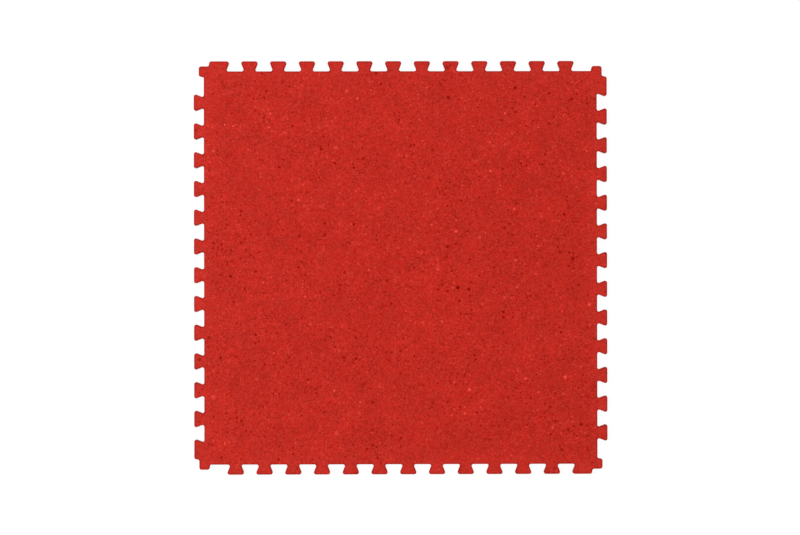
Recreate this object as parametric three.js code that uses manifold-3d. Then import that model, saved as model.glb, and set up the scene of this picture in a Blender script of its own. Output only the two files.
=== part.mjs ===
// An interlocking vinyl floor tile: one flat moulding with dovetail teeth along all four sides.
// Millimetres, +Z up. The origin is at the centre of the underside, and the tile lies in the XY plane.
//
// Each side is a wave about a straight module line, TILE_MODULE / 2 from the centre. The wave is
// the same after half a turn about the side's middle, so the side of the next tile fits it. The
// four sides are quarter turns of one another, so a tile may be laid any of four ways round.
import * as THREE from 'three';
import { mergeVertices } from 'three/addons/utils/BufferGeometryUtils.js';
import Module from 'manifold-3d';

// Overall sizes
const TILE_MODULE = 500; // from one laid tile to the next
const TILE_THICKNESS = 7;
const TOP_EDGE_ROUND = 0.6; // the eased edge round the walking face

// The dovetail teeth
const TOOTH_PITCH = 35.65; // from one tooth to the next
const TOOTH_LENGTH = 12.5; // from root line to tip line
const FLANK_ANGLE = THREE.MathUtils.degToRad(22); // from square to the side
const TIP_RADIUS = 2.5;
const ROOT_RADIUS = 2.2;
const FIT_GAP = 0.2; // between the faces of two tiles that are pushed together

// The corners, where four tiles meet
const CORNER_TAB = 12.3; // length of the corner's straight edge along the module line
const CORNER_FLANK_ANGLE = THREE.MathUtils.degToRad(10); // of the step that ends the tab
const CORNER_RADIUS = 2.9;
const STEP_RADIUS = 2.3;

const MOST_REACH = 0.48; // the share of an edge that the rounding of one corner may take up
const ARC_STEPS = 2; // half the straight pieces in each rounded corner
const EDGE_STEPS = 1; // straight pieces in the section of the eased top edge
const VINYL_RED = 0xbf2c22;

const wasm = await Module();
wasm.setup();

// The corners of one side, from left to right as seen from above, outside the side. Each is [u, v, radius]:
// u runs along the side from its middle, and v outwards from the module line.
function sideCorners() {
  const setBack = FIT_GAP / 2;
  const tip = TOOTH_LENGTH / 2 - setBack;
  const root = -TOOTH_LENGTH / 2 - setBack;
  const line = -setBack;
  const halfSide = TILE_MODULE / 2;
  const halfPitch = TOOTH_PITCH / 2;

  // A flank that crosses the module line at u. The tile is on its right where material is 1, and on
  // its left where it is -1, and lean says which way it goes as it runs outwards.
  const flank = (u, angle, lean, material) => (v) =>
    u + lean * Math.tan(angle) * v + (material * setBack) / Math.cos(angle);

  // The outermost flank leaves the wide end tooth at least as wide as the others.
  const outermost = Math.floor((halfSide - CORNER_TAB) / halfPitch - 1);

  const wideToothFlank = flank(-halfSide + CORNER_TAB, CORNER_FLANK_ANGLE, 1, 1);
  const nextTabFlank = flank(halfSide - CORNER_TAB, CORNER_FLANK_ANGLE, 1, 1);

  const corners = [
    [-halfSide + setBack, line, CORNER_RADIUS],
    [wideToothFlank(line), line, STEP_RADIUS],
    [wideToothFlank(tip), tip, TIP_RADIUS],
  ];
  for (let n = -outermost; n <= outermost; n++) {
    const endsTooth = (n + outermost) % 2 === 0;
    const edge = flank(n * halfPitch, FLANK_ANGLE, endsTooth ? 1 : -1, endsTooth ? -1 : 1);
    const atTip = [edge(tip), tip, TIP_RADIUS];
    const atRoot = [edge(root), root, ROOT_RADIUS];
    corners.push(...(endsTooth ? [atTip, atRoot] : [atRoot, atTip]));
  }
  corners.push([nextTabFlank(root), root, ROOT_RADIUS]);
  corners.push([nextTabFlank(line), line, STEP_RADIUS]);
  return corners;
}

// All the corners of the tile, clockwise from above: the one side's, turned to each of the four sides.
function tileCorners() {
  const corners = [];
  for (let side = 0; side < 4; side++) {
    for (const [u, v, radius] of sideCorners()) {
      const point = new THREE.Vector2(u, TILE_MODULE / 2 + v);
      point.rotateAround(new THREE.Vector2(), (-side * Math.PI) / 2);
      corners.push({ point, radius });
    }
  }
  return corners;
}

// Adds an arc in place of a sharp corner. A radius is limited by the shorter of the two edges it joins.
function addRoundedCorner(shape, before, corner, after) {
  const back = before.point.clone().sub(corner.point);
  const ahead = after.point.clone().sub(corner.point);
  const mostReach = MOST_REACH * Math.min(back.length(), ahead.length());
  back.normalize();
  ahead.normalize();
  const halfOpening = Math.acos(back.dot(ahead)) / 2;
  const reach = Math.min(corner.radius / Math.tan(halfOpening), mostReach);
  const radius = reach * Math.tan(halfOpening);

  const start = corner.point.clone().addScaledVector(back, reach);
  const end = corner.point.clone().addScaledVector(ahead, reach);
  const inward = back.clone().add(ahead).normalize();
  const centre = corner.point.clone().addScaledVector(inward, radius / Math.sin(halfOpening));
  const startAngle = start.sub(centre).angle();
  const endAngle = end.sub(centre).angle();
  const turnsRight = back.cross(ahead) > 0;
  shape.absarc(centre.x, centre.y, radius, startAngle, endAngle, turnsRight);
}

function tileOutline() {
  const corners = tileCorners();
  const shape = new THREE.Shape();
  corners.forEach((corner, i) => {
    const before = corners.at(i - 1);
    const after = corners[(i + 1) % corners.length];
    addRoundedCorner(shape, before, corner, after);
  });
  shape.closePath();
  return shape;
}

function toSolid(geometry) {
  const bare = geometry.clone();
  bare.deleteAttribute('normal');
  bare.deleteAttribute('uv');
  const merged = mergeVertices(bare);
  return new wasm.Manifold(
    new wasm.Mesh({
      numProp: 3,
      vertProperties: merged.attributes.position.array,
      triVerts: new Uint32Array(merged.index.array),
    }),
  );
}

function toGeometry(solid) {
  const mesh = solid.getMesh();
  const geometry = new THREE.BufferGeometry();
  geometry.setAttribute('position', new THREE.BufferAttribute(mesh.vertProperties, 3));
  geometry.setIndex(new THREE.BufferAttribute(mesh.triVerts, 1));
  geometry.computeVertexNormals();
  return geometry;
}

// The tile: its outline drawn out with both edges eased, then cut off square at the underside.
function tileGeometry() {
  const drawn = new THREE.ExtrudeGeometry(tileOutline(), {
    depth: TILE_THICKNESS,
    curveSegments: ARC_STEPS,
    bevelEnabled: true,
    bevelThickness: TOP_EDGE_ROUND,
    bevelSize: TOP_EDGE_ROUND,
    bevelOffset: -TOP_EDGE_ROUND,
    bevelSegments: EDGE_STEPS,
  });
  drawn.translate(0, 0, -TOP_EDGE_ROUND);

  const span = 2 * TILE_MODULE;
  const below = new THREE.BoxGeometry(span, span, TILE_THICKNESS);
  below.translate(0, 0, -TILE_THICKNESS / 2);
  return toGeometry(toSolid(drawn).subtract(toSolid(below)));
}

const vinyl = new THREE.MeshStandardMaterial({ color: VINYL_RED, roughness: 0.6, metalness: 0 });
const tile = new THREE.Mesh(tileGeometry(), vinyl);
tile.name = 'floor_tile';

const part = new THREE.Group();
part.name = 'interlocking_floor_tile';
part.add(tile);

export default part;
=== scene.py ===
import math

import bmesh
import bpy
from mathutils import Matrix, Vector, noise
from mathutils.geometry import delaunay_2d_cdt


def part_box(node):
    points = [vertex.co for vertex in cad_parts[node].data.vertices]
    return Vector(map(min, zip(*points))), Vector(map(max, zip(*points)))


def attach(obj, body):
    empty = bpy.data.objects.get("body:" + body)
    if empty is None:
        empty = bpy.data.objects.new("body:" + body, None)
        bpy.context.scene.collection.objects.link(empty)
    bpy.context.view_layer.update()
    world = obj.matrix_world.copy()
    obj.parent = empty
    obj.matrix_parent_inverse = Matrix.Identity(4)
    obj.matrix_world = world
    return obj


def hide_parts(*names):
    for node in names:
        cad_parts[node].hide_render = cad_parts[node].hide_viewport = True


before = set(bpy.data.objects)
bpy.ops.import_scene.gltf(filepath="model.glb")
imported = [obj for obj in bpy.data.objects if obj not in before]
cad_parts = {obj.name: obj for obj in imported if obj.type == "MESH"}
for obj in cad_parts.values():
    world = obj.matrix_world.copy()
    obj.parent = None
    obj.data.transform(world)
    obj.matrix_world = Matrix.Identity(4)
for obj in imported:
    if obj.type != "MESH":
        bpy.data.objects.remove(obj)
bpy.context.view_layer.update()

# Lengths are in metres, in the frame's own axes
MM = 0.001
NODE = "floor_tile"
LOW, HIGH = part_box(NODE)
THICKNESS = HIGH.z - LOW.z

# Section of the tile's edge
TOP_ROUND = 0.6 * MM  # the eased edge round the walking face
TOP_ROUND_STEPS = 5
UNDER_ROUND = 0.2 * MM
UNDER_MIDDLE = 0.3 * UNDER_ROUND  # inset and height of its one corner between the ends
EDGE_STEP = 4 * MM  # the longest straight piece of the outline
BORDER_INSETS = (1.2 * MM, 1.9 * MM)  # rings of the top inside the eased edge

# Reading and filling outlines
DIGITS = 6  # to the micrometre, so that corners shared by faces compare equal
LEVEL = 0.01 * MM  # corners this near the lowest height belong to the underside
SAME_PLACE = 1e-7
FILL_RING_ONLY = 1  # the triangulation's own number for triangles inside the given ring

# The walking face, which is flat apart from slight waves left by moulding
GRID_STEP = 4 * MM
UNDER_GRID_STEP = 12 * MM
GRID_MARGIN = 3 * MM
WAVE_DEPTH = 0.07 * MM
WAVE_LENGTH = 45 * MM
WAVE_FADE = 20 * MM
RIPPLES = 2.3  # finer waves for each wave
RIPPLE_SHARE = 0.5  # their height as a share of the waves'
RIPPLE_SHIFT = (7, 3, 1)
BORDER_LIGHT_FADE = 8 * MM  # how quickly the border's painted light fades into the field

# The crumbs that the vinyl is pressed from
CRUMB = 1.35 * MM
BIG_CRUMB = 3.6 * MM
HUE_CRUMB = 5 * MM
CLOUD = 28 * MM
PATCH = 38 * MM  # where flecks are more or fewer
CRUMB_WARP = 0.85 * MM
WARP_LENGTH = 1.45 * MM
GRAIN = 0.5 * MM

# Shifts in metres, so that no pattern follows another
BIG_CRUMB_SHIFT = (0.3, 0.1, 0.2)
HUE_CRUMB_SHIFT = (0.6, 0.4, 0.9)
PATCH_SHIFT = (0.7, 0.2, 0.5)

# Flecks: shift of the pattern, distance from one to the next, and radius
DARK_FLECKS = ((0.11, 0.52, 0.33), 5.8 * MM, 1.27 * MM)
SPECKS = ((0.47, 0.23, 0.81), 3.0 * MM, 0.68 * MM)
DEEP_FLECKS = ((0.29, 0.64, 0.95), 14 * MM, 1.7 * MM)
BRIGHT_FLECKS = ((0.83, 0.71, 0.12), 4.9 * MM, 1.11 * MM)
BIG_BRIGHT_FLECKS = ((0.35, 0.87, 0.58), 15 * MM, 1.58 * MM)
FLECK_SIZE_ADDED = 0.35  # added to a fleck's random size from 0 to 1
FLECK_PLENTY = (0.1, 1.9)  # sizes are multiplied by this, from where flecks are few to where they are many
FLECK_EDGE = 0.15  # width of a fleck's soft edge, as a share of its radius
FLECK_STRENGTH = (0.3, 1)

# Colours, as linear light
BASE_RED = (0.457, 0.0206, 0.0124, 1)
DARK_RED = (0.330, 0.0078, 0.0036, 1)
BRIGHT_RED = (0.600, 0.0384, 0.0260, 1)
PURE_RED = (0.560, 0.0173, 0.0095, 1)
DARK_FLECK = (0.314, 0.0047, 0.0007, 1)
DEEP_FLECK = (0.226, 0.0026, 0.0004, 1)
BRIGHT_FLECK = (0.788, 0.0650, 0.0450, 1)
RIM_PAINTED_SHADE = (0.75, 0.30, 0.20, 1)  # painted shade: the wall and the eased edge are multiplied by this
WHITE = (1, 1, 1, 1)

# How far each random value, from 0 to 1, moves the colour
CRUMB_SHADES = (0.19, 0.81)  # place between dark red and bright red
BIG_CRUMB_SHADES = (-0.05, 0.05)  # added to that place
BIG_CRUMB_TONES = (0.935, 1.065)  # brightness
CLOUD_TONES = (-0.155, 0.155)  # added to that brightness
PURE_RED_SHARE = 0.45
BRIGHT_FLECK_SHARE = 0.5
SPECK_SHARE = 0.9
# painted light on the teeth and border: how far they are moved towards bright red
BORDER_LIGHT_SHARE = 0.22
RIM_SHADE_FADE = 0.5  # power by which the rim's painted shade fades over the walking face

# The surface's relief in millimetres, and its gloss
DOME_HEIGHT = 0.13
PIT_DEPTH = 0.12
SPECK_PIT = 0.5  # as a share of a fleck's pit
GRAIN_HEIGHT = 0.05
RELIEF_STRENGTH = 0.66
ROUGHNESS = (0.27, 0.43)
PIT_GLOSS = 0.14  # how much less rough a pit is
SPECULAR = 0.075

# The floor is a pale lit table, dark of itself so that it shows little shadow
FLOOR_SIZE = 16
FLOOR_GAP = 0.1 * MM  # the floor lies this far under the tile
FLOOR_PAINT = (0.08, 0.08, 0.08, 1)
FLOOR_GLOW = 0.93

# Soft lights: direction from the tile in degrees anticlockwise from +X, and power in watts
LIGHTS = {"left": (180, 45), "right": (-8, 15), "back": (82, 26), "front": (-98, 15)}
LIGHT_REACH = 1.75  # from the tile's middle, along the floor
LIGHT_HEIGHT = 2.1
LIGHT_SIZE = 1.0
ROOM_LIGHT = 0.08

# Camera: nearly straight down, from the photograph's outline
LENS = 85
SENSOR = 36
CAMERA_PLACE = (-16.6 * MM, -6.9 * MM, 2348.5 * MM)
CAMERA_TURN = (0.174, -0.384, -0.111)  # degrees


def underside_outline():
    """The underside's outline, anticlockwise from above, as points read from the solid."""
    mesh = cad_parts[NODE].data
    edges = set()
    for face in mesh.polygons:
        corners = [tuple(round(c, DIGITS) for c in mesh.vertices[i].co) for i in face.vertices]
        if all(c[2] < LOW.z + LEVEL for c in corners):
            for a, b in zip(corners, corners[1:] + corners[:1]):
                if (b, a) in edges:
                    edges.remove((b, a))
                else:
                    edges.add((a, b))
    before = {b: a for a, b in edges}  # the underside faces down, so its edges run clockwise
    here = min(before)
    loop = []
    while here in before:
        loop.append(Vector(here[:2]))
        here = before.pop(here)
    return loop


def with_short_edges(loop, longest):
    """The same outline with points added on its long straight edges."""
    fine = []
    for a, b in zip(loop, loop[1:] + loop[:1]):
        pieces = max(1, math.ceil((b - a).length / longest))
        fine += [a.lerp(b, i / pieces) for i in range(pieces)]
    return fine


def inset(loop, depth):
    """The outline moved into the material."""
    inner = []
    for before, here, after in zip(loop[-1:] + loop[:-1], loop, loop[1:] + loop[:1]):
        a = (here - before).normalized()
        b = (after - here).normalized()
        inward = Vector((-a.y - b.y, a.x + b.x)).normalized()
        inner.append(here + inward * (depth / inward.dot(Vector((-a.y, a.x)))))
    return inner


def edge_section():
    """Insets and heights from the underside's border up to the flat of the walking face."""
    section = [(UNDER_ROUND, 0), (UNDER_MIDDLE, UNDER_MIDDLE), (0, UNDER_ROUND), (0, THICKNESS / 2)]
    for i in range(TOP_ROUND_STEPS + 1):
        angle = math.pi / 2 * i / TOP_ROUND_STEPS
        depth = TOP_ROUND * (1 - math.cos(angle))
        section.append((depth, THICKNESS - TOP_ROUND * (1 - math.sin(angle))))
    section += [(depth, THICKNESS) for depth in BORDER_INSETS]
    return section


def inside(x, y, line):
    """How far a point lies inside the square whose sides are this far from the middle."""
    return max(0, line - max(abs(x), abs(y)))


def dip(x, y, line):
    """How far the walking face dips at a point. It is flat outside the given line."""
    fade = min(1, inside(x, y, line) / WAVE_FADE)
    at = Vector((x, y, 0)) / WAVE_LENGTH
    height = noise.noise(at) + RIPPLE_SHARE * noise.noise(RIPPLES * at + Vector(RIPPLE_SHIFT))
    return WAVE_DEPTH * fade * (0.5 + 0.5 * max(-1, min(1, height)))


def grid_inside(root_line, step):
    """Points of a square grid over the field inside the teeth."""
    reach = root_line - GRID_MARGIN
    count = 2 * round(reach / step)
    places = [-reach + 2 * reach * i / count for i in range(count + 1)]
    return [Vector((x, y)) for x in places for y in places]


def fill(bm, ring, points, height, faces_up):
    """Closes a ring of corners with triangles through the given points, and returns the new corners."""
    places = [corner.co.xy for corner in ring] + points
    edges = [(i, (i + 1) % len(ring)) for i in range(len(ring))]
    flat, _, triangles, origins, *_ = delaunay_2d_cdt(places, edges, [], FILL_RING_ONLY, SAME_PLACE)
    corners = []
    new = []
    for place, origin in zip(flat, origins):
        if origin[0] < len(ring):
            corners.append(ring[origin[0]])
        else:
            corners.append(bm.verts.new((place.x, place.y, height(place.x, place.y))))
            new.append(corners[-1])
    for triangle in triangles:
        order = triangle if faces_up else reversed(triangle)
        bm.faces.new([corners[i] for i in order])
    return new


def make_tile(outline):
    """The tile as one closed mesh.

    Its attribute rim is 1 on the wall and falls to 0 on the walking face; it weights the painted shade
    there.
    Its attribute border is 1 on the teeth and fades into the field; it weights the painted light there.
    """
    root_line = min(max(abs(p.x), abs(p.y)) for p in outline)
    section = edge_section()
    last = section[-1][0]

    bm = bmesh.new()
    rim = bm.verts.layers.float.new("rim")
    border = bm.verts.layers.float.new("border")
    rings = []
    for depth, z in section:
        ring = [bm.verts.new((p.x, p.y, LOW.z + z)) for p in inset(outline, depth)]
        for corner in ring:
            corner[rim] = 1 - depth / last if z > 0 else 0
            corner[border] = 1
        rings.append(ring)
    for lower, upper in zip(rings, rings[1:]):
        for i, corner in enumerate(lower):
            j = (i + 1) % len(lower)
            bm.faces.new((corner, lower[j], upper[j], upper[i]))

    top_grid = grid_inside(root_line, GRID_STEP)
    under_grid = grid_inside(root_line, UNDER_GRID_STEP)
    face = fill(bm, rings[-1], top_grid, lambda x, y: HIGH.z - dip(x, y, root_line - last), True)
    for corner in face:
        corner[border] = math.exp(-inside(corner.co.x, corner.co.y, root_line) / BORDER_LIGHT_FADE)
    fill(bm, rings[0], under_grid, lambda x, y: LOW.z, False)

    mesh = bpy.data.meshes.new("tile")
    bm.to_mesh(mesh)
    bm.free()
    mesh.shade_smooth()
    tile = bpy.data.objects.new("tile", mesh)
    bpy.context.collection.objects.link(tile)
    return tile


def add(tree, kind, inputs=(), **settings):
    """Adds a shader node. Its inputs are pairs of a name or number and a value or socket."""
    made = tree.nodes.new(kind)
    for name, value in settings.items():
        setattr(made, name, value)
    for name, value in inputs:
        if isinstance(value, bpy.types.NodeSocket):
            tree.links.new(value, made.inputs[name])
        else:
            made.inputs[name].default_value = value
    return made


def calc(tree, operation, *values, clamp=False):
    """One step of arithmetic on sockets and numbers."""
    return add(tree, "ShaderNodeMath", enumerate(values), operation=operation, use_clamp=clamp).outputs[0]


def spread(tree, value, low, high):
    """A value from 0 to 1 spread from low to high."""
    return calc(tree, "MULTIPLY_ADD", value, high - low, low)


def moved(tree, place, shift):
    """The same places shifted."""
    return add(tree, "ShaderNodeVectorMath", [(0, place), (1, shift)], operation="ADD").outputs[0]


def scaled(tree, vector, amount):
    """A colour made brighter or darker, or a shift made longer or shorter."""
    pairs = [(0, vector), ("Scale", amount)]
    return add(tree, "ShaderNodeVectorMath", pairs, operation="SCALE").outputs[0]


def mix(tree, amount, first, second, kind="MIX"):
    """The second colour over the first. The node's sockets 6 and 7 are its colours, and its output 2."""
    pairs = [("Factor", amount), (6, first), (7, second)]
    return add(tree, "ShaderNodeMix", pairs, data_type="RGBA", blend_type=kind).outputs[2]


def soft_noise(tree, place, length, detail):
    """Smooth noise about a half."""
    made = add(tree, "ShaderNodeTexNoise", [("Vector", place), ("Scale", 1 / length), ("Detail", detail)])
    return made.outputs["Fac"]


def crumbs(tree, place, size):
    """Two random shades of each crumb from 0 to 1, and the distance from its middle in crumb sizes."""
    made = add(tree, "ShaderNodeTexVoronoi", [("Vector", place), ("Scale", 1 / size)])
    shades = add(tree, "ShaderNodeSeparateColor", [("Color", made.outputs["Color"])])
    return shades.outputs["Red"], shades.outputs["Green"], made.outputs["Distance"]


def crumb_places(tree, place):
    """Places warped a little, so that crumbs have uneven edges."""
    warp = add(tree, "ShaderNodeTexNoise", [("Vector", place), ("Scale", 1 / WARP_LENGTH), ("Detail", 1)])
    about_zero = moved(tree, warp.outputs["Color"], (-0.5, -0.5, -0.5))
    return moved(tree, place, scaled(tree, about_zero, CRUMB_WARP))


def flecks(tree, place, pattern, plenty):
    """How strong flecks are, from 0 to 1. They are larger and more where the socket plenty is high."""
    shift, spacing, radius = pattern
    shade, other, distance = crumbs(tree, moved(tree, place, shift), spacing)
    size = calc(tree, "MULTIPLY", calc(tree, "ADD", shade, FLECK_SIZE_ADDED), radius / spacing)
    size = calc(tree, "MULTIPLY", size, spread(tree, plenty, *FLECK_PLENTY))
    depth = calc(tree, "SUBTRACT", size, distance)
    amount = calc(tree, "DIVIDE", depth, FLECK_EDGE * radius / spacing, clamp=True)
    return calc(tree, "MULTIPLY", amount, spread(tree, other, *FLECK_STRENGTH))


def vinyl():
    """Red vinyl pressed from crumbs of slightly different reds, with dark and bright flecks."""
    material = bpy.data.materials.new("vinyl")
    material.use_nodes = True
    tree = material.node_tree
    tree.nodes.clear()
    place = add(tree, "ShaderNodeTexCoord").outputs["Object"]
    uneven = crumb_places(tree, place)

    crumb_shade, _, crumb_distance = crumbs(tree, uneven, CRUMB)
    big_shade, other_shade, _ = crumbs(tree, moved(tree, uneven, BIG_CRUMB_SHIFT), BIG_CRUMB)
    hue, _, _ = crumbs(tree, moved(tree, uneven, HUE_CRUMB_SHIFT), HUE_CRUMB)
    cloud = soft_noise(tree, place, CLOUD, detail=3)
    plenty = soft_noise(tree, moved(tree, place, PATCH_SHIFT), PATCH, detail=2)

    # The crumbs' own colours
    shade = spread(tree, crumb_shade, *CRUMB_SHADES)
    shade = calc(tree, "ADD", shade, spread(tree, other_shade, *BIG_CRUMB_SHADES))
    ramp = add(tree, "ShaderNodeValToRGB", [("Fac", shade)])
    stops = ramp.color_ramp.elements
    stops[0].color = DARK_RED
    stops[1].color = BRIGHT_RED
    stops.new(0.5).color = BASE_RED
    colour = mix(tree, calc(tree, "MULTIPLY", hue, PURE_RED_SHARE), ramp.outputs["Color"], PURE_RED)
    tone = spread(tree, big_shade, *BIG_CRUMB_TONES)
    tone = calc(tree, "ADD", tone, spread(tree, cloud, *CLOUD_TONES))
    colour = scaled(tree, colour, tone)

    # Flecks over them
    dark = flecks(tree, uneven, DARK_FLECKS, plenty)
    specks = flecks(tree, uneven, SPECKS, plenty)
    deep = flecks(tree, uneven, DEEP_FLECKS, plenty)
    bright = flecks(tree, uneven, BRIGHT_FLECKS, cloud)
    big_bright = flecks(tree, uneven, BIG_BRIGHT_FLECKS, cloud)
    colour = mix(tree, calc(tree, "MULTIPLY", bright, BRIGHT_FLECK_SHARE), colour, BRIGHT_FLECK)
    colour = mix(tree, big_bright, colour, BRIGHT_FLECK)
    colour = mix(tree, calc(tree, "MULTIPLY", specks, SPECK_SHARE), colour, DARK_FLECK)
    colour = mix(tree, dark, colour, DARK_FLECK)
    colour = mix(tree, deep, colour, DEEP_FLECK)

    # A paler border of painted light and a darker rim of painted shade
    border = add(tree, "ShaderNodeAttribute", attribute_name="border").outputs["Fac"]
    colour = mix(tree, calc(tree, "MULTIPLY", border, BORDER_LIGHT_SHARE), colour, BRIGHT_RED)
    rim = add(tree, "ShaderNodeAttribute", attribute_name="rim").outputs["Fac"]
    colour = mix(tree, calc(tree, "POWER", rim, RIM_SHADE_FADE), colour, RIM_PAINTED_SHADE, "MULTIPLY")

    # Domed crumbs, pits at the dark flecks, and fine grain
    domes = calc(tree, "MULTIPLY", calc(tree, "POWER", crumb_distance, 2), -DOME_HEIGHT)
    pits = calc(tree, "MAXIMUM", calc(tree, "MULTIPLY_ADD", specks, SPECK_PIT, dark), deep, clamp=True)
    grain = calc(tree, "MULTIPLY", soft_noise(tree, place, GRAIN, detail=2), GRAIN_HEIGHT)
    height = calc(tree, "ADD", calc(tree, "MULTIPLY_ADD", pits, -PIT_DEPTH, domes), grain)
    relief = [("Height", height), ("Distance", MM), ("Strength", RELIEF_STRENGTH)]
    bump = add(tree, "ShaderNodeBump", relief)

    rough = spread(tree, crumb_shade, *ROUGHNESS)
    rough = calc(tree, "MULTIPLY_ADD", pits, -PIT_GLOSS, rough)
    surface = add(tree, "ShaderNodeBsdfPrincipled", [
        ("Base Color", colour),
        ("Roughness", rough),
        ("Specular IOR Level", SPECULAR),
        ("Normal", bump.outputs["Normal"]),
    ])
    add(tree, "ShaderNodeOutputMaterial", [("Surface", surface.outputs[0])])
    return material


def floor_white():
    """The pale floor's plain matt surface."""
    material = bpy.data.materials.new("floor_white")
    material.use_nodes = True
    surface = material.node_tree.nodes["Principled BSDF"]
    surface.inputs["Base Color"].default_value = FLOOR_PAINT
    surface.inputs["Roughness"].default_value = 1
    surface.inputs["Specular IOR Level"].default_value = 0
    surface.inputs["Emission Color"].default_value = WHITE
    surface.inputs["Emission Strength"].default_value = FLOOR_GLOW
    return material


def make_floor():
    """A wide plain floor just under the tile."""
    reach = FLOOR_SIZE / 2
    z = LOW.z - FLOOR_GAP
    mesh = bpy.data.meshes.new("floor")
    corners = [(-reach, -reach, z), (reach, -reach, z), (reach, reach, z), (-reach, reach, z)]
    mesh.from_pydata(corners, [], [(0, 1, 2, 3)])
    mesh.materials.append(floor_white())
    floor = bpy.data.objects.new("floor", mesh)
    bpy.context.collection.objects.link(floor)


def softbox(name, direction, power):
    """A square soft light aimed at the tile."""
    angle = math.radians(direction)
    data = bpy.data.lights.new(name, "AREA")
    data.size = LIGHT_SIZE
    data.energy = power
    light = bpy.data.objects.new(name, data)
    light.location = (LIGHT_REACH * math.cos(angle), LIGHT_REACH * math.sin(angle), LIGHT_HEIGHT)
    light.rotation_mode = "QUATERNION"
    light.rotation_quaternion = light.location.to_track_quat("Z", "Y")
    bpy.context.collection.objects.link(light)


def light_the_room():
    """Soft studio light from all sides, strongest from the left."""
    for name, (direction, power) in LIGHTS.items():
        softbox(name, direction, power)
    world = bpy.data.worlds.new("room")
    world.use_nodes = True
    background = world.node_tree.nodes["Background"]
    background.inputs["Color"].default_value = WHITE
    background.inputs["Strength"].default_value = ROOM_LIGHT
    bpy.context.scene.world = world
    bpy.context.scene.view_settings.view_transform = "Standard"


def place_camera():
    """The camera looks down from high up, less than a degree off the vertical."""
    data = bpy.data.cameras.new("camera")
    data.lens = LENS
    data.sensor_width = SENSOR
    camera = bpy.data.objects.new("camera", data)
    camera.location = CAMERA_PLACE
    camera.rotation_euler = [math.radians(a) for a in CAMERA_TURN]
    bpy.context.collection.objects.link(camera)
    bpy.context.scene.camera = camera


place_camera()
light_the_room()
make_floor()

tile = make_tile(with_short_edges(underside_outline(), EDGE_STEP))
tile.data.materials.append(vinyl())
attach(tile, "root")
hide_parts(NODE)
